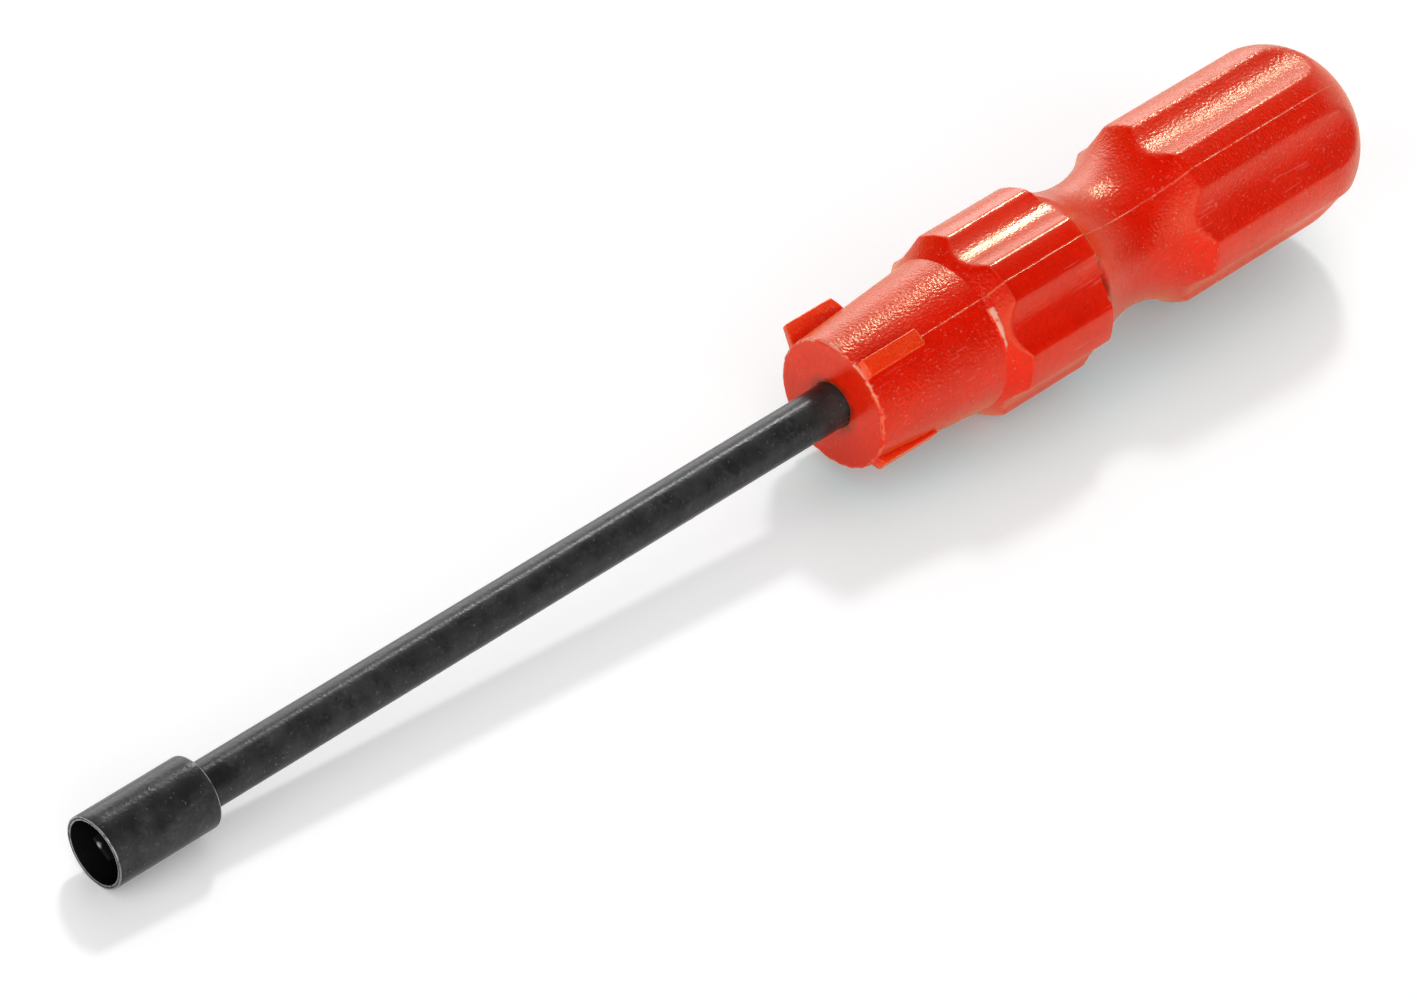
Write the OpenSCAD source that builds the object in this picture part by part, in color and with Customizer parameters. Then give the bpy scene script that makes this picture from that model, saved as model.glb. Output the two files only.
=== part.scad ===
// Screwdriver for carburettor adjusting screws: a slotted blade that stands back inside a guide sleeve,
// on a round steel shaft moulded into a fluted plastic handle.
// The tool's axis is X. The origin is the centre of the sleeve's mouth, +X runs towards the butt of the handle
// and +Z is up as the tool lies on a bench, on one flute of the handle and the rim of the sleeve.

/* [Shaft] */
// Diameter of the round steel bar
shaft_d = 6; // [5:0.1:7]
// Distance from the mouth of the sleeve to the face of the handle
reach = 117.6; // [80:0.1:160]
// Length of the shaft held inside the handle
tang_l = 56; // [40:1:70]
// Span across the two wings that stop the shaft from turning in the handle
wing_span = 9; // [8:0.1:11]
// Thickness of the wings
wing_t = 2.4; // [1.5:0.1:4]
// Length of the wings along the shaft
wing_l = 12; // [6:0.5:18]
// Distance from the end of the shaft to the wings
wing_end_gap = 4; // [2:0.5:8]

/* [Blade] */
// Width of the blade at its tip
blade_w = 3; // [1.5:0.1:4]
// Thickness of the blade at its tip
blade_t = 0.7; // [0.4:0.05:1]
// How far the tip stands behind the mouth of the sleeve
blade_back = 1.1; // [0.5:0.1:3]
// Length of the ground taper from the round shaft to the tip
blade_l = 7; // [5:0.5:9]

/* [Guide sleeve] */
// Outside diameter of the sleeve
sleeve_d = 9.4; // [8.6:0.1:12]
// Wall of the sleeve around the blade
sleeve_wall = 0.6; // [0.4:0.05:1]
// Length of the sleeve
sleeve_l = 15; // [14:0.5:24]
// Length of the thick rear wall that is pressed on the shaft
seat_l = 5; // [3:0.5:8]
// Edge break inside and outside the mouth
rim_break = 0.15; // [0.05:0.05:0.2]
// Rounding of the sleeve's rear edge
sleeve_round = 0.4; // [0.2:0.1:0.8]
// Clearance all round between the shaft and the seat
seat_gap = 0.01; // [0:0.005:0.03]

/* [Handle] */
// Length of the handle
handle_l = 90.6; // [86:0.1:120]
// Diameter over the lands of the grip
grip_d = 24.9; // [23.5:0.1:28]
// Diameter of the handle's front face
nose_d = 17.5; // [14:0.1:20]
// Diameter of the nose cone where it meets the front shoulder
cone_d = 20.7; // [18:0.1:21.5]
// Length of the nose cone
cone_l = 20.1; // [14:0.1:24]
// Length of the sloping front shoulder
shoulder_l = 2.7; // [1.5:0.1:5]
// Length of the front grip section, from the shoulder to its rear edge
collar_l = 14.5; // [10:0.1:17]
// Step behind the rear edge of the front grip section
edge_step = 0.5; // [0.2:0.1:1.2]
// Distance from that edge to the narrowest place of the waist
waist_front_l = 9.5; // [6:0.1:11]
// Diameter of the waist
waist_d = 18; // [16:0.1:20]
// Radius of the hollow that rises from the waist to the rear grip
waist_rear_r = 15.6; // [8:0.1:18]
// Rounding of the rear grip's front shoulder
shoulder_round = 1.4; // [0.6:0.1:3]
// Radius of the butt's rounded corner
butt_corner_r = 9.6; // [5:0.1:10.5]
// Radius of the butt's domed end
butt_r = 15.3; // [14.5:0.1:30]
// Clearance all round between the moulding and the steel in it
mould_gap = 0.01; // [0:0.005:0.05]

/* [Flutes] */
// Number of flutes
flute_count = 6; // [4:1:8]
// Width of a flute between its two edges
flute_w = 7.2; // [5:0.1:8]
// Depth of a flute below the lands
flute_depth = 1.25; // [0.9:0.05:2]

/* [Nose lugs] */
// Width of each low lug
lug_w = 2; // [1:0.1:3]
// Length of each lug
lug_l = 9.6; // [6:0.1:13]
// Height of a low lug above the edge of the front face
lug_h = 1.1; // [0.9:0.05:2]
// Length of a low lug's sloping front
lug_lead_l = 0.6; // [0.2:0.1:1.5]
// Width of the pointer lug
pointer_w = 1; // [0.6:0.1:3]
// Height of the pointer lug above the edge of the front face
pointer_h = 2.7; // [1.8:0.05:3.6]
// Length of the pointer lug's sloping front
pointer_lead_l = 1; // [0.3:0.1:3]
// Length of the pointer lug's sloping rear end
pointer_tail_l = 0.9; // [0.3:0.1:3]

/* [Hidden] */
$fn = 96;

// Overshoot of a cut past the face that it opens
cut = 1;

shaft_r = shaft_d / 2;
shaft_end = reach + tang_l;
wing_x = shaft_end - wing_end_gap - wing_l;
blade_root = blade_back + blade_l;

sleeve_r = sleeve_d / 2;
guide_r = sleeve_r - sleeve_wall;
guide_l = sleeve_l - seat_l;

nose_r = nose_d / 2;
grip_r = grip_d / 2;
waist_r = waist_d / 2;
collar_z = cone_l + shoulder_l;
edge_z = collar_z + collar_l;
waist_z = edge_z + waist_front_l;
// The front hollow starts at the step and runs out level at the waist
front_rise = grip_r - edge_step - waist_r;
waist_front_r = (pow(waist_front_l, 2) + pow(front_rise, 2)) / (2 * front_rise);
// The rounded shoulder touches the rear hollow and the lands
grip_rise = grip_r - waist_r;
shoulder_z = waist_z + sqrt(grip_rise * (2 * (waist_rear_r + shoulder_round) - grip_rise));
// The butt's corner touches the lands and the domed end
butt_z = handle_l - butt_r;
corner_r = grip_r - butt_corner_r;
corner_z = butt_z + sqrt(pow(butt_r - butt_corner_r, 2) - pow(corner_r, 2));

// A flute is a round groove through its bottom and its two edges
flute_bottom = grip_r - flute_depth;
flute_rise = sqrt(pow(grip_r, 2) - pow(flute_w / 2, 2)) - flute_bottom;
flute_r = (pow(flute_w / 2, 2) + pow(flute_rise, 2)) / (2 * flute_rise);

// The mould parts through the middle of two lands, and the lugs stand on and across that plane
parting_a = 180 / flute_count;
pointer_a = parting_a + 90;
low_lug_angles = [parting_a, parting_a + 180, parting_a + 270];
lug_r = nose_r + lug_h;
pointer_r = nose_r + pointer_h;
// Half width of the nose cone at the rear end of the lugs
lug_end_r = (nose_d + (cone_d - nose_d) * lug_l / cone_l) / 2;
// The lugs are rooted below the surface of the nose
lug_root = nose_r - lug_w;

handle_colour = "#d8320f";
shaft_colour = "#2b2b2d";
sleeve_colour = "#37373a";

// Turns a piece made along Z, with its bottom flute facing +X, to lie along the tool's axis
module along_axis(x = 0) {
    translate([x, 0, 0]) rotate([0, 90, 0]) children();
}

// Half section of the nose cone, the front shoulder and the front grip section
module front_section() {
    polygon([
        [0, 0], [nose_r, 0], [cone_d / 2, cone_l],
        [grip_r, collar_z], [grip_r, edge_z], [0, edge_z]
    ]);
}

// Half section of the waist, with one hollow in front of its narrowest place and one behind
module waist_section() {
    difference() {
        translate([0, edge_z]) square([waist_r + waist_front_r, waist_front_l]);
        translate([waist_r + waist_front_r, waist_z]) circle(r = waist_front_r, $fn = 4 * $fn);
    }
    difference() {
        polygon([
            [0, waist_z], [waist_r + waist_rear_r, waist_z],
            [grip_r - shoulder_round, shoulder_z], [0, shoulder_z]
        ]);
        translate([waist_r + waist_rear_r, waist_z]) circle(r = waist_rear_r, $fn = 2 * $fn);
    }
}

// Half section of the rear grip, from its rounded shoulder to the domed butt
module rear_section() {
    translate([grip_r - shoulder_round, shoulder_z]) circle(r = shoulder_round);
    translate([0, shoulder_z]) square([grip_r, corner_z - shoulder_z]);
    intersection() {
        translate([0, corner_z - butt_corner_r]) square([grip_r, 2 * butt_corner_r]);
        translate([corner_r, corner_z]) circle(r = butt_corner_r);
    }
    intersection() {
        translate([0, butt_z]) circle(r = butt_r, $fn = 2 * $fn);
        polygon([
            [0, butt_z], [corner_r / (corner_z - butt_z) * butt_r, butt_z + butt_r], [0, butt_z + butt_r]
        ]);
    }
}

module turned_body() {
    rotate_extrude() {
        front_section();
        waist_section();
        rear_section();
    }
}

module flutes() {
    for (i = [0 : flute_count - 1])
        rotate(i * 360 / flute_count) translate([flute_bottom + flute_r, 0, cone_l])
            cylinder(r = flute_r, h = handle_l - cone_l + cut, $fn = 2 * $fn);
}

// A lug on the nose, from its side outline
module lug(angle, width, outline) {
    rotate(angle) translate([0, width / 2, 0]) rotate([90, 0, 0])
        linear_extrude(width) polygon(outline);
}

module nose_lugs() {
    low = [[lug_root, 0], [nose_r, 0], [lug_r, lug_lead_l], [lug_r, lug_l], [lug_root, lug_l]];
    pointer = [
        [lug_root, 0], [nose_r, 0], [pointer_r, pointer_lead_l], [pointer_r, lug_l - pointer_tail_l],
        [lug_end_r, lug_l], [lug_root, lug_l]
    ];
    for (angle = low_lug_angles) lug(angle, lug_w, low);
    lug(pointer_a, pointer_w, pointer);
}

// The shaft's own bar and wings, grown all round by a gap
module bar_with_wings(gap = 0) {
    along_axis(blade_back) cylinder(r = shaft_r + gap, h = shaft_end - blade_back + gap);
    along_axis(wing_x - gap) rotate(pointer_a) translate([-wing_span / 2 - gap, -wing_t / 2 - gap, 0])
        cube([wing_span + 2 * gap, wing_t + 2 * gap, wing_l + 2 * gap]);
}

// What is left of the bar at the tip after grinding, from its outline across one direction
module ground_outline(tip, width) {
    translate([0, width / 2, 0]) rotate([90, 0, 0]) linear_extrude(width) polygon([
        [-tip / 2, 0], [tip / 2, 0], [shaft_r, blade_l], [shaft_r, blade_l + shaft_end],
        [-shaft_r, blade_l + shaft_end], [-shaft_r, blade_l]
    ]);
}

module handle() {
    color(handle_colour) difference() {
        along_axis(reach) {
            difference() {
                turned_body();
                flutes();
            }
            nose_lugs();
        }
        bar_with_wings(mould_gap);
    }
}

// The blade's width lies in line with the pointer lug, so that the lug shows how the slot stands
module shaft() {
    color(shaft_colour) intersection() {
        bar_with_wings();
        along_axis(blade_back) rotate(pointer_a) union() {
            intersection() {
                ground_outline(blade_w, shaft_d);
                rotate(90) ground_outline(blade_t, shaft_d);
            }
            translate([-wing_span / 2, -wing_span / 2, blade_l])
                cube([wing_span, wing_span, shaft_end]);
        }
    }
}

module guide_sleeve() {
    round_z = sleeve_l - sleeve_round;
    color(sleeve_colour) along_axis() rotate_extrude() {
        polygon([
            [guide_r + rim_break, 0], [sleeve_r - rim_break, 0], [sleeve_r, rim_break], [sleeve_r, round_z],
            [sleeve_r - sleeve_round, round_z], [sleeve_r - sleeve_round, sleeve_l],
            [shaft_r + seat_gap, sleeve_l], [shaft_r + seat_gap, guide_l], [guide_r, guide_l], [guide_r, rim_break]
        ]);
        translate([sleeve_r - sleeve_round, round_z]) circle(r = sleeve_round, $fn = 32);
    }
}

handle();
shaft();
guide_sleeve();
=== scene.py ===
# %% [markdown]
# # A screwdriver for carburetor screws
# This lesson dresses a small hand tool: a black steel shaft with a guide sleeve at its tip, in a red moulded
# handle. The CAD model gives every size, so each piece is modelled in place, in metres, on the tool's axis X.

# %% Load the CAD frame
import math

import bmesh
import bpy
from mathutils import Matrix, Vector, noise


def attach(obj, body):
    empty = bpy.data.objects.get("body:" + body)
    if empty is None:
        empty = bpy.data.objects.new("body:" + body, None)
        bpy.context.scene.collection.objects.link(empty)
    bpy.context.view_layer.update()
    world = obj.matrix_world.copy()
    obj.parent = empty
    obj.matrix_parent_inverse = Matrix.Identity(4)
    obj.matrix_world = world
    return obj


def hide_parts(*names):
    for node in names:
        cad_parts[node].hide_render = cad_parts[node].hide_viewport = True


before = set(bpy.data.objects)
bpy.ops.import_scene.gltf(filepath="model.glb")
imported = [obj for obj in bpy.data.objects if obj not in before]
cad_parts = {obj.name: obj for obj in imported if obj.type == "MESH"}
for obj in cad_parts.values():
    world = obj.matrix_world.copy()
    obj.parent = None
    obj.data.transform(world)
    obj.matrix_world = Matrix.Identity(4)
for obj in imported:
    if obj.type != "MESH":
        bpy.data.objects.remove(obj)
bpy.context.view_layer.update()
MM = 0.001

# %% [markdown]
# ## The camera
# The camera was fitted to the straight shaft and to the round edges of the sleeve and the handle. A long lens
# from about 0.7 m away gives the weak perspective of a product picture.

# %% Place the camera
def put_in_scene(name, data):
    thing = bpy.data.objects.new(name, data)
    bpy.context.scene.collection.objects.link(thing)
    return thing


camera_at = Vector((-318.84, -396.26, 498.16)) * MM
ahead = Vector((0.5450, 0.5198, -0.6579)).normalized()
to_right = Vector((0.7157, -0.6971, 0.0420))
to_right = (to_right - ahead * to_right.dot(ahead)).normalized()
image_width_px, focal_px = 1417, 6300

camera_data = bpy.data.cameras.new("camera")
camera_data.sensor_fit = "HORIZONTAL"
camera_data.sensor_width = 36.0
camera_data.lens = camera_data.sensor_width * focal_px / image_width_px
camera = put_in_scene("camera", camera_data)
turn = Matrix((to_right, to_right.cross(ahead), -ahead)).transposed()
camera.matrix_world = Matrix.Translation(camera_at) @ turn.to_4x4()
bpy.context.scene.camera = camera
print("lens in mm:", round(camera_data.lens, 1))

# %% [markdown]
# ## Drawing and turning a profile
# Round pieces are turned, as on a lathe: half of the outline is drawn in the XZ plane and spun about X. Two
# small pens draw it. One extrudes a vertex along a line, the other spins a vertex round a centre.

# %% Pens for the outline
def start_at(mesh, x, r):
    return mesh.verts.new((x * MM, 0, r * MM))


def draw_line(mesh, tip, x, r, steps=1):
    start, end = tip.co.copy(), Vector((x * MM, 0, r * MM))
    for i in range(steps):
        tip = bmesh.ops.extrude_vert_indiv(mesh, verts=[tip])["verts"][0]
        tip.co = start.lerp(end, (i + 1) / steps)
    return tip


def draw_arc(mesh, tip, x, r, degrees, steps):
    made = bmesh.ops.spin(
        mesh, geom=[tip], cent=(x * MM, 0, r * MM), axis=(0, 1, 0), angle=math.radians(degrees), steps=steps)
    return [g for g in made["geom_last"] if isinstance(g, bmesh.types.BMVert)][0]


def round_corner(mesh, corner, radius, segments=4):
    """Rounds one corner of the outline; the offset that gives a radius depends on the corner's angle."""
    before, after = [(e.other_vert(corner).co - corner.co).normalized() for e in corner.link_edges]
    offset = radius * MM / math.tan(before.angle(after) / 2)
    bmesh.ops.bevel(
        mesh, geom=[corner], offset=offset, offset_type="OFFSET", affect="VERTICES", segments=segments,
        profile=0.5, material=-1)


def turn_outline(mesh, steps):
    """Spins everything drawn so far once round the tool's axis and closes the seam and the poles."""
    bmesh.ops.spin(
        mesh, geom=mesh.verts[:] + mesh.edges[:], cent=(0, 0, 0), axis=(1, 0, 0), angle=math.tau, steps=steps,
        use_merge=True)
    bmesh.ops.remove_doubles(mesh, verts=mesh.verts[:], dist=1e-7)
    bmesh.ops.recalc_face_normals(mesh, faces=mesh.faces[:])


def open_edges(mesh):
    """Counts the edges that don't join two faces; a closed shell has none."""
    return sum(len(e.link_faces) != 2 for e in mesh.edges)


# %% [markdown]
# ## The handle's outline
# The handle is one moulding. From the front: a flat face round the shaft, a nose cone, a sloping shoulder, the
# short front grip, a small step, the hollow waist, the long rear grip and the domed butt. The outline also runs
# back along the bore that holds the shaft, so that the turned shell is closed. Its last vertex is put exactly on
# the axis, where its turned copies merge to one pole. The steps are finer on both sides of the shoulder's foot,
# where a sliver of flash will stick.

# %% Draw the handle's outline
reach, handle_end = 117.6, 208.2
bore_r, nose_r, cone_r, grip_r, waist_r = 3.01, 8.75, 10.35, 12.45, 9.0
cone_end, shoulder_top, collar_end, waist_x = 137.7, 140.4, 154.9, 164.4
step, front_hollow_r, rear_hollow_r, shoulder_round = 0.5, 16.772, 15.6, 1.4
butt_corner_r, butt_r, tang_end = 9.6, 15.3, 173.6
cone_slope = (cone_r - nose_r) / (cone_end - reach)
shoulder_slope = (grip_r - cone_r) / (shoulder_top - cone_end)
fine_before, fine_after = 1.0, 0.945

moulding = bmesh.new()
pen = start_at(moulding, tang_end, 0)
pen = draw_line(moulding, pen, tang_end, bore_r)
pen = draw_line(moulding, pen, reach, bore_r, 8)
bore_edge = pen
pen = draw_line(moulding, pen, reach, nose_r, 8)
nose_edge = pen
pen = draw_line(moulding, pen, cone_end - fine_before, cone_r - fine_before * cone_slope, 23)
pen = draw_line(moulding, pen, cone_end, cone_r, 6)
cone_foot = pen
pen = draw_line(moulding, pen, cone_end + fine_after, cone_r + fine_after * shoulder_slope, 8)
pen = draw_line(moulding, pen, shoulder_top, grip_r, 6)
shoulder_edge = pen
pen = draw_line(moulding, pen, collar_end, grip_r, 14)
collar_edge = pen
pen = draw_line(moulding, pen, collar_end, grip_r - step)
step_foot = pen
hollow_front = math.degrees(math.asin((waist_x - collar_end) / front_hollow_r))
pen = draw_arc(moulding, pen, waist_x, waist_r + front_hollow_r, -hollow_front, 14)
hollow_rear = math.degrees(math.acos(1 - (grip_r - waist_r) / (rear_hollow_r + shoulder_round)))
pen = draw_arc(moulding, pen, waist_x, waist_r + rear_hollow_r, -hollow_rear, 18)
shoulder_x = waist_x + (rear_hollow_r + shoulder_round) * math.sin(math.radians(hollow_rear))
pen = draw_arc(moulding, pen, shoulder_x, grip_r - shoulder_round, hollow_rear, 8)
butt_x, corner_r = handle_end - butt_r, grip_r - butt_corner_r
corner_x = butt_x + math.sqrt((butt_r - butt_corner_r) ** 2 - corner_r ** 2)
pen = draw_line(moulding, pen, corner_x, grip_r, 18)
corner_turn = math.degrees(math.atan2(corner_x - butt_x, corner_r))
pen = draw_arc(moulding, pen, corner_x, corner_r, corner_turn, 20)
pen = draw_arc(moulding, pen, butt_x, 0, 90 - corner_turn, 8)
pen.co.z = 0
print("outline ends at x", round(pen.co.x / MM, 3), "r", round(pen.co.z / MM, 4), "vertices", len(moulding.verts))

# %% Round the outline's corners and turn it
for corner, radius in (
        (bore_edge, 0.25), (nose_edge, 0.4), (cone_foot, 0.4), (shoulder_edge, 0.6), (collar_edge, 0.2),
        (step_foot, 0.12)):
    round_corner(moulding, corner, radius)
turn_outline(moulding, steps=360)
print("turned handle:", len(moulding.faces), "faces, open edges:", open_edges(moulding))

# %% [markdown]
# ## Flutes with soft edges
# Six round grooves run along the grip. A boolean would leave knife edges, but a moulded handle has edges that
# catch the light. So every vertex is moved along its own radius, to the smaller of the turned outline and the
# groove's wall, with a smooth minimum that rounds the edge. Crowding the columns of vertices towards the
# grooves' edges first puts the mesh where the shape turns. The bore is passed over and stays round. Where a groove
# is deeper than the small step, the step's vertices meet and are merged, which keeps the mesh clean for a boolean.

# %% Cut the flutes
flute_count, flute_w, flute_depth, edge_blend = 6, 7.2, 1.25, 0.45
bore_margin, crowding, merge_gap = 0.5, 0.05, 0.001
pitch = math.tau / flute_count
flute_bottom = grip_r - flute_depth
flute_rise = math.sqrt(grip_r ** 2 - (flute_w / 2) ** 2) - flute_bottom
flute_r = ((flute_w / 2) ** 2 + flute_rise ** 2) / (2 * flute_rise)
flute_axis_r = flute_bottom + flute_r


def groove_wall(angle):
    """Distance from the tool's axis to the nearest groove's wall in one direction, in mm."""
    off = (angle + pitch / 2) % pitch - pitch / 2
    side = flute_axis_r * math.sin(off)
    if abs(side) >= flute_r:
        return 2 * grip_r
    return flute_axis_r * math.cos(off) - math.sqrt(flute_r ** 2 - side ** 2)


def smooth_min(a, b, blend):
    share = min(1, max(0, 0.5 + (b - a) / (2 * blend)))
    return b + (a - b) * share - blend * share * (1 - share)


def polar(v):
    """Place along the axis, distance from it in mm, and angle from the top towards the viewer."""
    return v.co.x / MM, math.hypot(v.co.y, v.co.z) / MM, math.atan2(-v.co.y, v.co.z)


def put(v, x, r, angle):
    v.co = Vector((x, -r * math.sin(angle), r * math.cos(angle))) * MM


for v in moulding.verts:
    x, r, angle = polar(v)
    if r < bore_r + bore_margin:
        continue
    angle -= crowding * math.sin(2 * flute_count * (angle - pitch / 4))
    if x > cone_end:
        r = smooth_min(r, groove_wall(angle), edge_blend)
    put(v, x, r, angle)
bmesh.ops.remove_doubles(moulding, verts=moulding.verts[:], dist=merge_gap * MM)
bmesh.ops.dissolve_degenerate(moulding, edges=moulding.edges[:], dist=merge_gap * MM)
print("groove radius in mm:", round(flute_r, 2), "open edges:", open_edges(moulding))

# %% [markdown]
# ## Marks of the mould
# The two halves of the mould met in a plane through two of the lands, and a hair of plastic was squeezed out
# between them. Two cuts beside that plane make room for a narrow ridge, and the vertices on the plane are lifted
# by a few hundredths of a millimetre. The front rim carries ragged burrs, the foot of the step behind the front
# grip is uneven, and a sliver of flash sticks to the foot of the shoulder. Moving vertices by a noise gives all
# of these their chance look and keeps the mesh closed.

# %% Raise the parting line
parting_angle = math.radians(30)
parting = Vector((0, -math.sin(parting_angle), math.cos(parting_angle)))
pointing = Vector((0, math.cos(parting_angle), math.sin(parting_angle)))
ridge_half, ridge_from, ridge_to, ridge_height, ridge_chance = 0.09, 118.0, 203.5, 0.06, 0.05
for side in (-1, 1):
    bmesh.ops.bisect_plane(
        moulding, geom=moulding.verts[:] + moulding.edges[:] + moulding.faces[:], dist=1e-7,
        plane_co=pointing * side * ridge_half * MM, plane_no=pointing)
ridge = [v for v in moulding.verts if abs(v.co.dot(pointing)) < 1e-6 and abs(v.co.dot(parting)) > 2 * bore_r * MM]
for v in ridge:
    x, r, angle = polar(v)
    fade = min(1, max(0, x - ridge_from), max(0, (ridge_to - x) / 2))
    height = ridge_height + ridge_chance * noise.noise(Vector((x * 0.9, angle, 0)))
    put(v, x, r + max(0, height) * fade, angle)
print("vertices on the parting line:", len(ridge))

# %% Roughen the rim, the step's foot and the shoulder's foot
flash_from, flash_to, flash_x = math.radians(35), math.radians(68), cone_end + 0.2
flash_half, flash_wider, flash_ragged, flash_soft, flash_blunt = 0.18, 0.36, 0.15, 0.15, 6
flash_front, flash_back = cone_end - 0.25, cone_end + 1.1
rim_band, burr_out, burr_up = 0.45, 0.12, 0.16
foot_long, foot_high, foot_shift, foot_lift = 0.4, 0.3, 0.25, 0.12


def flash_sliver(x, r, angle):
    """1 on the sliver of flash, which tapers away from the parting line, and 0 beside it."""
    along = (flash_to - angle) / (flash_to - flash_from)
    if not 0 < along < 1 or r < nose_r:
        return 0.0
    half = flash_half + flash_wider * along + flash_ragged * noise.noise(Vector((angle * 30, 3, 0)))
    return min(1, max(0, (half - abs(x - flash_x)) / flash_soft)) * min(1, flash_blunt * (1 - along))


for v in moulding.verts:
    x, r, angle = polar(v)
    chance = noise.noise(Vector((angle * 9, x * 2, r * 2)))
    if x < reach + rim_band and r > nose_r - rim_band:
        put(v, x - burr_out * max(0, chance), r + burr_up * max(0, chance), angle)
    elif abs(x - collar_end) < foot_long and abs(r - grip_r + step) < foot_high:
        put(v, x + foot_shift * chance, r + foot_lift * chance, angle)
    elif flash_from < angle < flash_to and flash_front < x < flash_back:
        lift = flash_sliver(x, r, angle)
        put(v, x - burr_out * lift, r + burr_up * lift, angle)
print("length of the flash in mm:", round((flash_to - flash_from) * cone_r, 1))

# %% [markdown]
# ## Lugs on the nose
# Four lugs stand on the nose, two on the parting line and two across it. One is tall and thin and points along
# the blade. Each is drawn from the side, filled, pulled to its width and bevelled, and a boolean joins it to the
# turned body, so that the handle stays one closed moulding.

# %% Model the lugs
def keep_mesh(name, mesh):
    """Writes a finished bmesh to an object of its own in the scene."""
    data = bpy.data.meshes.new(name)
    mesh.to_mesh(data)
    mesh.free()
    return put_in_scene(name, data)


def model_lug(name, angle, width, side_outline, shift=0.0, chamfer=0.5, bevel=0.16):
    """The upright edges at the lug's rear end get the chamfer, and then all edges the bevel."""
    mesh = bmesh.new()
    corners = [start_at(mesh, x, r) for x, r in side_outline]
    bmesh.ops.contextual_create(mesh, geom=corners)
    bmesh.ops.translate(mesh, verts=mesh.verts[:], vec=(0, (shift - width / 2) * MM, 0))
    pulled = bmesh.ops.extrude_face_region(mesh, geom=mesh.faces[:])["geom"]
    bmesh.ops.translate(
        mesh, verts=[g for g in pulled if isinstance(g, bmesh.types.BMVert)], vec=(0, width * MM, 0))
    bmesh.ops.recalc_face_normals(mesh, faces=mesh.faces[:])
    end_x = max(v.co.x for v in mesh.verts) - 0.1 * MM
    upright = [e for e in mesh.edges if e.verts[0].co.y == e.verts[1].co.y and min(v.co.x for v in e.verts) > end_x]
    bmesh.ops.bevel(
        mesh, geom=upright, offset=min(chamfer, width / 3) * MM, offset_type="OFFSET", affect="EDGES", segments=1,
        profile=0.5, material=-1)
    bmesh.ops.bevel(
        mesh, geom=mesh.edges[:], offset=bevel * MM, offset_type="OFFSET", affect="EDGES", segments=3, profile=0.5,
        material=-1)
    bmesh.ops.rotate(mesh, verts=mesh.verts[:], cent=(0, 0, 0), matrix=Matrix.Rotation(angle, 3, "X"))
    return keep_mesh(name, mesh)


root_r, low_r, pointer_r = 6.8, 9.85, 11.45
lug_front, lug_rim, lug_end, pointer_end = reach + 0.02, nose_r - 0.1, 127.6, 127.4
low_side = [
    (lug_front, root_r), (lug_front, lug_rim), (118.2, low_r), (127.2, low_r + 0.05), (lug_end, low_r - 0.25),
    (lug_end, root_r)]
pointer_side = [
    (lug_front, root_r), (lug_front, lug_rim), (118.7, pointer_r), (126.5, pointer_r), (pointer_end, 9.5),
    (pointer_end, root_r)]
lugs = [
    model_lug("lug_near", math.radians(30), 2.3, low_side, 0.15),
    model_lug("lug_far", math.radians(210), 2.3, low_side),
    model_lug("lug_below", math.radians(120), 2.0, low_side),
    model_lug("lug_pointer", math.radians(-60), 1.1, pointer_side),
]
print("lug triangles:", sum(len(p.vertices) - 2 for lug in lugs for p in lug.data.polygons))

# %% Join lugs and body
def finish_piece(name, mesh, node):
    """Makes an object that rides on the tool and stands for a CAD node."""
    piece = keep_mesh(name, mesh)
    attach(piece, "root")
    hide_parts(node)
    return piece


handle = finish_piece("handle_moulding", moulding, "handle")
for lug in lugs:
    union = handle.modifiers.new(lug.name, "BOOLEAN")
    union.operation, union.solver, union.object = "UNION", "EXACT", lug
joined = bpy.data.meshes.new_from_object(handle.evaluated_get(bpy.context.evaluated_depsgraph_get()))
handle.modifiers.clear()
handle.data = joined
for lug in lugs:
    bpy.data.objects.remove(lug)
print("handle triangles:", sum(len(p.vertices) - 2 for p in joined.polygons))

# %% [markdown]
# ## Where edges wear
# Edges that stick out rub against other tools in a drawer and turn paler. The wear is stored per vertex: the
# sharper an edge bends outwards, the more it wears. On the handle the same value also carries painted
# highlights on the top of the front rim and on the parting line. The material reads it as an attribute and
# breaks it up. A second value says where the plastic is thin and light shines through it, and also marks the
# upper rim of the front face. With it the material paints both a brighter orange, a painted glow. Nothing rubs
# round the shaft's hole.

# %% A helper that stores the wear
mild_bend, strong_bend, least_gap = 0.5, 3.0, 0.05
hole_r, spared_where_thin, sharp_angle = 4.0, 0.35, math.radians(40)


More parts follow.
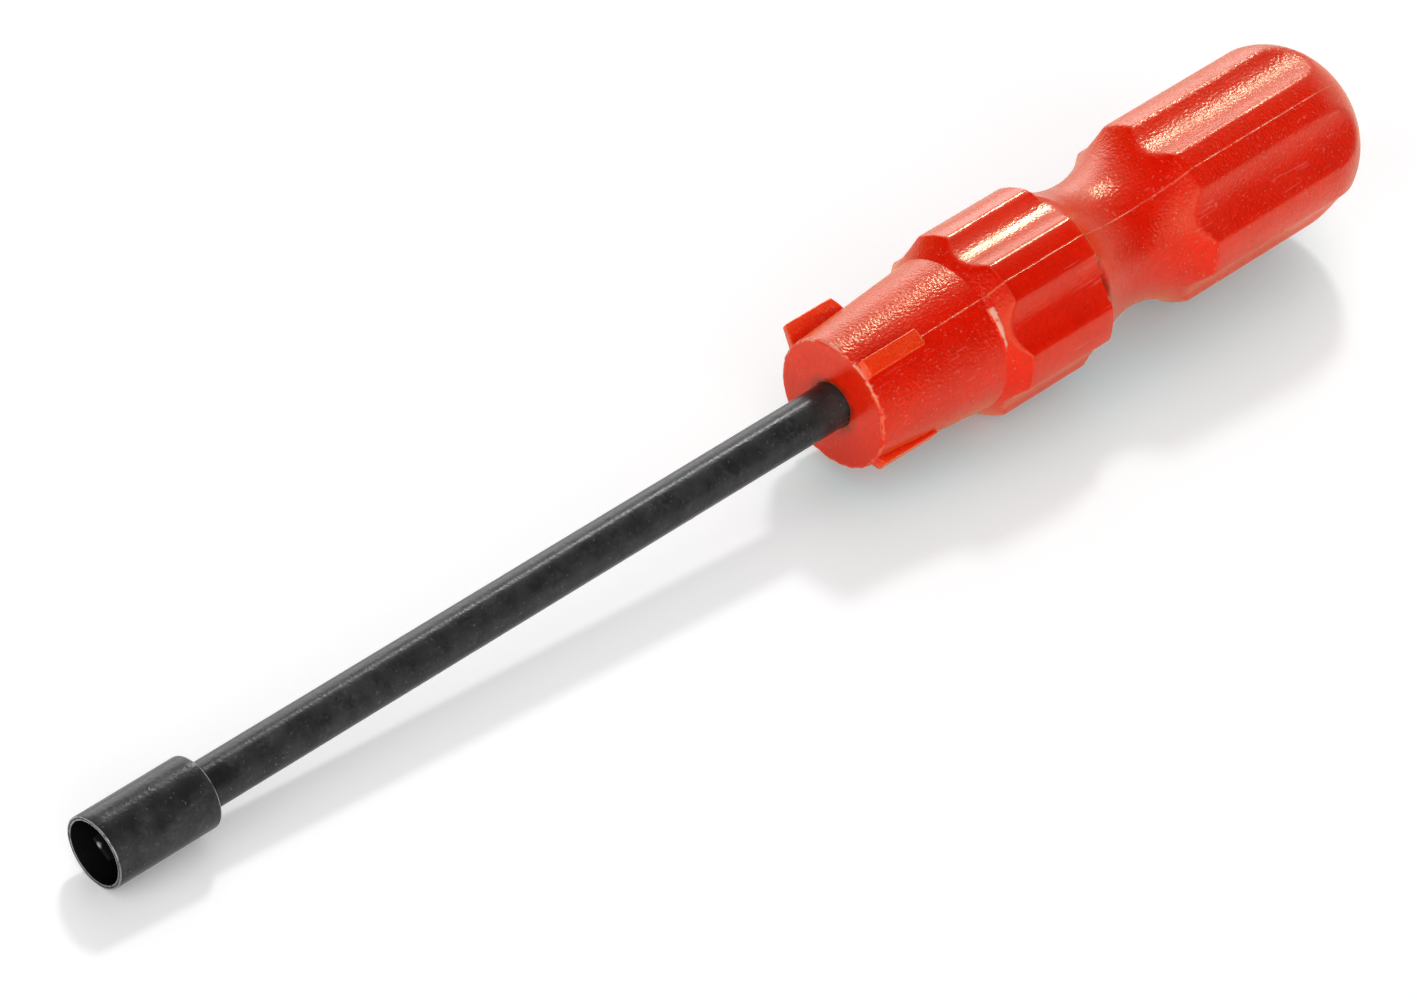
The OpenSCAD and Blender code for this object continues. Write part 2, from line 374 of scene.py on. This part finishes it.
def store_wear(data, extra=None, thin_glow_at=None):
    """Writes 0 to 1 by the outward bend of the edges in radians per mm, or more by extra, and smooths the shading."""
    mesh = bmesh.new()
    mesh.from_mesh(data)
    layer = mesh.verts.layers.float.new("wear")
    thin_glow = mesh.verts.layers.float.new("thin_glow")
    for e in mesh.edges:
        if len(e.link_faces) != 2:
            continue
        one, two = e.link_faces
        gap = max(least_gap, (one.calc_center_median() - two.calc_center_median()).length / MM)
        bend = e.calc_face_angle_signed(0) / gap
        amount = min(1, max(0, (bend - mild_bend) / (strong_bend - mild_bend)))
        for v in e.verts:
            v[layer] = max(v[layer], amount)
    for v in mesh.verts:
        if thin_glow_at:
            v[thin_glow] = thin_glow_at(*polar(v))
            v[layer] *= 1 - spared_where_thin * v[thin_glow] if polar(v)[1] > hole_r else 0
        if extra:
            v[layer] = max(v[layer], extra(*polar(v)))
    mean = sum(v[layer] for v in mesh.verts) / len(mesh.verts)
    print("open edges:", open_edges(mesh))
    mesh.to_mesh(data)
    mesh.free()
    data.shade_smooth()
    data.set_sharp_from_angle(angle=sharp_angle)
    return mean


# %% Wear of the handle
rim_long, rim_inside, rim_outside, line_half = 0.35, 0.2, 0.3, 0.1
rim_wear, rim_top_highlight, line_pale_and_highlight, line_fade, flash_wear = 0.75, 0.9, 1.2, 8, 2
lug_clear, lug_fade = 0.1, 0.25
face_share, face_from, face_fade, face_long = 0.45, 6.5, 2, 0.3


def burrs_and_highlights(x, r, angle):
    """Flash and the frayed front rim turn pale; the parting line and the rim's top also get a painted highlight."""
    on_rim = x < reach + rim_long and nose_r - rim_inside < r < nose_r + rim_outside
    # The rim's top gets a painted highlight on top of its pale burrs.
    rim = rim_wear + rim_top_highlight * max(0, math.cos(angle)) if on_rim else 0.0
    off_line = abs(angle - parting_angle) * r
    # The parting line is pale flash with a painted highlight along it.
    line = line_pale_and_highlight - line_fade * off_line if off_line < line_half and ridge_from < x < ridge_to else 0.0
    return max(rim, line, flash_wear * flash_sliver(x, r, angle))


def lug_or_painted_rim_glow(x, r, angle):
    """1 where a lug stands out of the nose, and less on the front face's upper rim; both get a painted glow."""
    skin = nose_r + cone_slope * (x - reach)
    lug = min(1, max(0, (r - skin - lug_clear) / lug_fade)) if x < lug_end + 0.4 else 0.0
    # Painted glow: the front face's rim is made lighter towards its top.
    face = min(1, max(0, (r - face_from) / face_fade)) * max(0, math.cos(angle)) if x < reach + face_long else 0.0
    return max(lug, face_share * face)


print("mean wear of the handle:", round(store_wear(joined, burrs_and_highlights, lug_or_painted_rim_glow), 3))

# %% [markdown]
# ## The guide sleeve
# A short steel tube sits on the end of the shaft. It is thin at the mouth, so that it slips over a screw's head,
# and thick at the back, where it grips the shaft. It is turned from one closed outline. The lathe left a fine
# groove in the mouth's face and the edges are broken.

# %% Turn the sleeve
sleeve_r, guide_r, sleeve_l, seat_front = 4.7, 4.1, 15.0, 10.0
groove_r, groove_half, groove_depth = 4.4, 0.06, 0.06
tube = bmesh.new()
first = start_at(tube, 0, guide_r)
pen = draw_line(tube, first, 0, groove_r - groove_half)
pen = draw_line(tube, pen, groove_depth, groove_r)
pen = draw_line(tube, pen, 0, groove_r + groove_half)
pen = draw_line(tube, pen, 0, sleeve_r)
mouth_edge = pen
pen = draw_line(tube, pen, sleeve_l, sleeve_r, 12)
rear_edge = pen
pen = draw_line(tube, pen, sleeve_l, bore_r)
rear_bore = pen
pen = draw_line(tube, pen, seat_front, bore_r)
pen = draw_line(tube, pen, seat_front, guide_r)
tube.edges.new((pen, first))
for corner, radius in ((first, 0.1), (mouth_edge, 0.12), (rear_edge, 0.3), (rear_bore, 0.1)):
    round_corner(tube, corner, radius)
turn_outline(tube, steps=160)
sleeve = finish_piece("sleeve_tube", tube, "guide_sleeve")
print("mean wear of the sleeve:", round(store_wear(sleeve.data), 3))

# %% [markdown]
# ## Colours, nodes and marks
# Colours are written as the sRGB values that a picture shows, and one function turns them to the linear values
# that the shader wants. One small function adds a node, with its settings, fills or links its sockets and gives
# back an output. A finish is then a ground colour with marks laid over it, one after another. A mark shows where
# all its gates are open, and a gate is a value with the two numbers at which it is shut and open. What changes
# from place to place, such as the grain, is a sum of smooth ramps.

# %% Helpers for materials
def linear(hex_colour):
    parts = [int(hex_colour[i:i + 2], 16) / 255 for i in (1, 3, 5)]
    return [c / 12.92 if c <= 0.04045 else ((c + 0.055) / 1.055) ** 2.4 for c in parts] + [1.0]


def fill(tree, node, inputs):
    for name, value in inputs.items():
        if isinstance(value, bpy.types.NodeSocket):
            tree.links.new(value, node.inputs[name])
        else:
            node.inputs[name].default_value = value


def add(tree, kind, inputs, output=0, **settings):
    node = tree.nodes.new(kind)
    for name, value in settings.items():
        setattr(node, name, value)
    fill(tree, node, inputs)
    return node.outputs[output]


def new_material(name, patterns):
    """A material with its place on the piece and its chance patterns: width in mm, detail, length for width.

    One wave of the noise holds a light and a dark spot, each of the given width.
    """
    material = bpy.data.materials.new(name)
    material.use_nodes = True
    tree = material.node_tree
    place = add(tree, "ShaderNodeTexCoord", {}, "Object")
    values = {"place": place}
    for pattern, (width, detail, stretch) in patterns.items():
        drawn_out = add(tree, "ShaderNodeVectorMath", {0: place, 1: (1 / stretch, 1, 1)}, operation="MULTIPLY")
        values[pattern] = add(
            tree, "ShaderNodeTexNoise", {"Vector": drawn_out, "Scale": 0.5 / (width * MM), "Detail": detail})
    return material, tree, values


def lay_marks(tree, ground, marks):
    """Each mark is a colour, the most that it covers, and its gates."""
    for colour, cover, *gates in marks:
        for value, shut, opened in gates:
            cover = add(
                tree, "ShaderNodeMapRange", {"Value": value, "From Min": shut, "From Max": opened, "To Max": cover},
                interpolation_type="SMOOTHSTEP")
        ground = add(tree, "ShaderNodeMix", {0: cover, 6: ground, 7: linear(colour)}, 2, data_type="RGBA")
    return ground


def add_up(tree, ramps):
    """Each ramp is a value, the two numbers between which it changes, and what it gives before and after them."""
    total = 0.0
    for value, start, end, before, after in ramps:
        ramp = add(tree, "ShaderNodeMapRange", {
            "Value": value, "From Min": start, "From Max": end, "To Min": before, "To Max": after},
            interpolation_type="SMOOTHSTEP")
        total = add(tree, "ShaderNodeMath", {0: ramp, 1: total}, operation="ADD")
    return total


def dress(piece, material):
    piece.data.materials.clear()
    piece.data.materials.append(material)


# %% [markdown]
# ## Moulded red polypropylene
# The handle is injection-moulded polypropylene, a waxy plastic. The mould was sandblasted and is worn: the nose
# and the rear grip come out grainy and a little matt, the front grip and the flat front face smoother. The real
# grain is finer than a pixel, so it is drawn as coarse as it needs to show. The colour is a deep red with darker
# mottling and pale specks in the grainy parts, partly real specks and partly painted glints of the grain. Burrs
# and rubbed edges are pale; the parting line and the top of the front rim also carry a painted highlight. The
# corner of the step is painted dark on the side towards the viewer, as painted shade, and the front face is
# darker in a ring round the shaft's hole. The thin lugs let light through, and they and the upper rim of the
# front face are painted a brighter orange, a painted glow. At grazing angles the waxy skin shows an orange haze,
# which is drawn with sheen.

# %% Colour of the red plastic
plastic, tree, red = new_material("moulded_red_polypropylene", {
    "cloud": (6, 3, 1), "mottle": (0.4, 2, 1), "specks": (0.2, 1, 1), "grain": (0.2, 1, 1), "waves": (4, 1, 1),
    "scratches": (0.2, 3, 14), "patches": (3.5, 2, 1), "frayed": (0.5, 3, 1), "step_shade": (0.7, 3, 1)})
wear, thin_glow = [add(tree, "ShaderNodeAttribute", {}, "Fac", attribute_name=name) for name in ("wear", "thin_glow")]
along, aside = [add(tree, "ShaderNodeSeparateXYZ", {0: red["place"]}, name) for name in "XY"]
# The ramps lead from the front face to the nose, on to the front grip and on to the rear grip.
blasted = add_up(tree, [
    (along, (reach + 0.1) * MM, (reach + 0.8) * MM, -0.6, 0.0),
    (along, 136 * MM, 141 * MM, 0.6, 0.0),
    (along, 154 * MM, 166 * MM, 0.35, 0.85),
])
across = add(tree, "ShaderNodeVectorMath", {0: red["place"], 1: (0, 1, 1)}, operation="MULTIPLY")
out = add(tree, "ShaderNodeVectorMath", {0: across}, "Value", operation="LENGTH")
colour = lay_marks(tree, linear("#f41200"), [
    ("#e80b00", 1.0, (red["cloud"], 0.3, 0.7)),
    ("#c80400", 0.28, (red["mottle"], 0.35, 0.65)),
    # Painted glow: a brighter orange on the thin lugs and on the upper rim of the front face.
    ("#f64015", 1.0, (thin_glow, 0, 1)),
    # Pale specks in the grainy parts: partly real specks, partly painted glints of the grain.
    ("#ffb8a4", 0.20, (red["specks"], 0.66, 0.74), (blasted, 0.2, 0.8)),
    ("#f0b4a4", 0.12, (red["scratches"], 0.60, 0.68), (red["patches"], 0.5, 0.62)),
    ("#f58a68", 0.45, (wear, 0.15, 0.9), (red["frayed"], 0.36, 0.62)),
    ("#fac0aa", 0.7, (wear, 1.0, 1.8), (red["frayed"], 0.30, 0.50)),
    # Painted shade: the corner of the step, darker on the side towards the viewer.
    ("#960a00", 0.85, (along, (collar_end - 0.05) * MM, (collar_end + 0.1) * MM),
     (along, (collar_end + 1.5) * MM, (collar_end + 0.4) * MM), (aside, -2 * MM, -5 * MM), (red["step_shade"], 0.3, 0.6)),
    # The front face is darker in a ring round the shaft's hole.
    ("#521410", 0.6, (along, (reach + 0.5) * MM, (reach + 0.2) * MM), (out, 4.6 * MM, 3.2 * MM),
     (red["frayed"], 0.25, 0.6)),
])

# %% Surface of the red plastic
normal = {}
for height, depth, strength in (
        (red["grain"], 0.085, blasted), (red["scratches"], 0.012, 1.0), (red["waves"], 0.10, 1.0)):
    normal = {"Normal": add(
        tree, "ShaderNodeBump", {"Height": height, "Distance": depth * MM, "Strength": strength, **normal})}
matt = add_up(tree, [(red["patches"], 0.3, 0.7, 0.17, 0.25), (blasted, 0.35, 0.6, 0.0, 0.05)])
fill(tree, tree.nodes["Principled BSDF"], {
    "Base Color": colour, "Roughness": matt, "IOR": 1.5, "Specular IOR Level": 0.4,
    "Specular Tint": (0.7, 1.0, 0.5, 1.0), "Sheen Weight": 0.62, "Sheen Roughness": 0.42,
    "Sheen Tint": linear("#ffa848"), "Subsurface Weight": thin_glow, "Subsurface Radius": (1.0, 0.15, 0.05),
    "Subsurface Scale": 2 * MM, **normal})
dress(handle, plastic)
print("nodes in the plastic:", len(tree.nodes))

# %% [markdown]
# ## Black oxide on steel
# The shaft and the sleeve were blackened in a hot salt bath and oiled. To the eye the oxide is no metal: it is a
# dark, porous layer with a dull shine, cloudy, with fine drawing marks along the bar and specks of dust. So the
# shader is a dark dielectric with a low specular level. On the sleeve's edges the oxide is rubbed through, and
# only there does bright metal show, on both sides of the dark groove in the mouth's face. The inside of the
# sleeve and the shaft within it are painted near black, as painted shade where no light reaches, and a pale
# spot near the blade's tip is a painted glint.

# %% Black steel
blade_back, glint_lift = 1.1, 0.5


def black_steel(name, worn):
    material, tree, black = new_material(name, {
        "cloud": (1.6, 4, 1), "dust": (0.3, 3, 1), "dusty": (1.5, 2, 1), "specks": (0.2, 1, 1), "rubbed": (0.4, 3, 1),
        "grain": (0.25, 2, 1), "drawn": (0.3, 2, 20)})
    shader = tree.nodes["Principled BSDF"]
    tone = lay_marks(tree, linear("#272727"), [
        ("#3a3a3a", 1.0, (black["cloud"], 0.3, 0.7)),
        ("#545454", 0.4, (black["dust"], 0.40, 0.70), (black["dusty"], 0.4, 0.7)),
        ("#808080", 0.4, (black["specks"], 0.69, 0.77)),
    ])
    matt = add(tree, "ShaderNodeMapRange", {
        "Value": black["cloud"], "From Min": 0.3, "From Max": 0.7, "To Min": 0.24, "To Max": 0.34})
    along = add(tree, "ShaderNodeSeparateXYZ", {0: black["place"]}, "X")
    if worn:
        wear = add(tree, "ShaderNodeAttribute", {}, "Fac", attribute_name="wear")
        bright = add(tree, "ShaderNodeMapRange", {"Value": wear, "From Min": 0.2, "From Max": 0.9})
        across = add(tree, "ShaderNodeVectorMath", {0: black["place"], 1: (0, 1, 1)}, operation="MULTIPLY")
        out = add(tree, "ShaderNodeVectorMath", {0: across}, "Value", operation="LENGTH")
        fill(tree, shader, {"Metallic": add(tree, "ShaderNodeMapRange", {
            "Value": black["rubbed"], "From Min": 0.2, "From Max": 0.55, "To Max": bright})})
        tone = lay_marks(tree, tone, [
            ("#969696", 1.0, (wear, 0.2, 0.9), (black["rubbed"], 0.2, 0.55)),
            ("#161616", 0.9, (out, (groove_r - 0.11) * MM, (groove_r - 0.04) * MM),
             (out, (groove_r + 0.11) * MM, (groove_r + 0.04) * MM), (along, 0.3 * MM, 0.2 * MM)),
            # Painted shade: the inside of the sleeve is darker.
            ("#121212", 1.0, (out, (guide_r + 0.08) * MM, (guide_r + 0.02) * MM)),
        ])
    else:
        dark_from, dark_to = (seat_front - 2) * MM, seat_front * MM
        glint_at = tuple(pointing * glint_lift * MM + Vector((blade_back * MM, 0, 0)))
        off = add(tree, "ShaderNodeVectorMath", {0: black["place"], 1: glint_at}, "Value", operation="DISTANCE")
        tone = lay_marks(tree, tone, [
            # Painted shade: the shaft inside the sleeve is near black.
            ("#080808", 1.0, (along, dark_to, dark_from)),
            # Painted glint: a pale spot near the blade's tip.
            ("#a8a8a8", 1.0, (off, 0.55 * MM, 0.1 * MM)),
        ])
        matt = add(tree, "ShaderNodeMapRange", {
            "Value": along, "From Min": dark_from, "From Max": dark_to, "To Min": 0.9, "To Max": matt})
    normal = {}
    for height, depth in ((black["grain"], 0.032), (black["drawn"], 0.012)):
        normal = {"Normal": add(tree, "ShaderNodeBump", {"Height": height, "Distance": depth * MM, **normal})}
    fill(tree, shader, {"Base Color": tone, "Roughness": matt, "Specular IOR Level": 0.17, **normal})
    return material


dress(sleeve, black_steel("black_oxide_steel_rubbed", True))
dress(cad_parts["shaft"], black_steel("black_oxide_steel", False))
print("black steel on the sleeve and the shaft")

# %% [markdown]
# ## Table and light
# The tool lies on a white table, on the sleeve's mouth and on two lands of its front grip, so the table slopes
# a little against the tool's axis. The main light stands behind the tool and throws its shadow to the viewer.
# To the camera and in mirrors the table glows a little, so that it is white in the open. The glow dims where the
# tool covers the sky, and loses the red that the handle throws on the table, because the shadow is a plain grey.

# %% Lay the table
edge_round = 0.15
rest_r = grip_r * math.cos(math.asin(flute_w / 2 / grip_r))
slope = -(rest_r - sleeve_r) / (shoulder_top - edge_round)
table = bmesh.new()
bmesh.ops.create_grid(table, x_segments=1, y_segments=1, size=4)
for v in table.verts:
    v.co.z = -sleeve_r * MM + slope * (v.co.x - edge_round * MM)
floor = keep_mesh("table", table)
print("table slope in degrees:", round(math.degrees(math.atan(slope)), 2))

# %% White table
white = bpy.data.materials.new("white_table")
white.use_nodes = True
tree = white.node_tree
seen = 0.0
for ray in ("Is Camera Ray", "Is Glossy Ray", "Is Transmission Ray"):
    seen = add(tree, "ShaderNodeMath", {0: add(tree, "ShaderNodeLightPath", {}, ray), 1: seen}, operation="MAXIMUM")
open_sky = add(tree, "ShaderNodeAmbientOcclusion", {"Distance": 40 * MM}, "AO")
glow = add(tree, "ShaderNodeMapRange", {
    "Value": open_sky, "From Max": 0.88, "To Min": 0.11, "To Max": 0.40}, interpolation_type="SMOOTHSTEP")
glow = add(tree, "ShaderNodeMath", {0: seen, 1: glow}, operation="MULTIPLY")
along = add(tree, "ShaderNodeSeparateXYZ", {0: add(tree, "ShaderNodeTexCoord", {}, "Object")}, "X")
tint = lay_marks(tree, (1, 1, 1, 1), [("#20ffff", 1.0, (open_sky, 1.0, 0.2), (along, 98 * MM, 128 * MM))])
fill(tree, tree.nodes["Principled BSDF"], {
    "Base Color": (0.8, 0.8, 0.8, 1), "Roughness": 0.9, "Specular IOR Level": 0.0, "Emission Color": tint,
    "Emission Strength": glow})
dress(floor, white)
print("nodes in the table's white:", len(tree.nodes))

# %% Main light
key_from = Vector((0.585, 0.49, 0.636)).normalized()
key_data = bpy.data.lights.new("key", "SUN")
key_data.energy = 1.1
key_data.angle = math.radians(7)
key = put_in_scene("key", key_data)
key.rotation_mode = "QUATERNION"
key.rotation_quaternion = (-key_from).to_track_quat("-Z", "Y")
print("main light from", [round(c, 2) for c in key_from])

# %% [markdown]
# ## The studio round the table
# Pale walls and reflectors stand low round the table, and the space above the viewer is dark. That is what makes
# the plastic deep red where it faces up and pale at its flanks. Each soft patch of light is a direction, written
# as azimuth and elevation in degrees, and a strength.

# %% Soft patches of light
patches_of_light = [
    (60, 5, 3.3), (44, 22, 0.9), (60, 39, 0.65), (28, 48, 0.4), (20, 14, 0.15), (8, 33, 0.25), (0, 2, 0.65),
    (-12, 21, 0.55), (-32, 9, 0.3), (178, 27, 2.0), (-170, 8, 1.4), (-150, 19, 1.2), (158, 15, 0.5), (-117, 12, 1.6),
    (-97, 24, 1.15), (-85, 5, 1.0), (-110, 46, 0.5), (-130, 32, 0.45), (48, 70, 0.25), (-37, 81, 0.1),
]
core, rim = math.cos(math.radians(7)), math.cos(math.radians(27))
world = bpy.data.worlds.new("studio")
bpy.context.scene.world = world
world.use_nodes = True
sky = world.node_tree
ray = add(sky, "ShaderNodeTexCoord", {}, "Generated")
ramps = []
for azimuth, elevation, strength in patches_of_light:
    a, e = math.radians(azimuth), math.radians(elevation)
    centre = (math.cos(e) * math.cos(a), math.cos(e) * math.sin(a), math.sin(e))
    near = add(sky, "ShaderNodeVectorMath", {0: ray, 1: centre}, "Value", operation="DOT_PRODUCT")
    ramps.append((near, rim, core, 0.0, strength))
fill(sky, sky.nodes["Background"], {"Color": (1, 1, 1, 1), "Strength": add_up(sky, ramps)})

bpy.context.scene.view_settings.view_transform = "Standard"
print("patches of light:", len(patches_of_light))
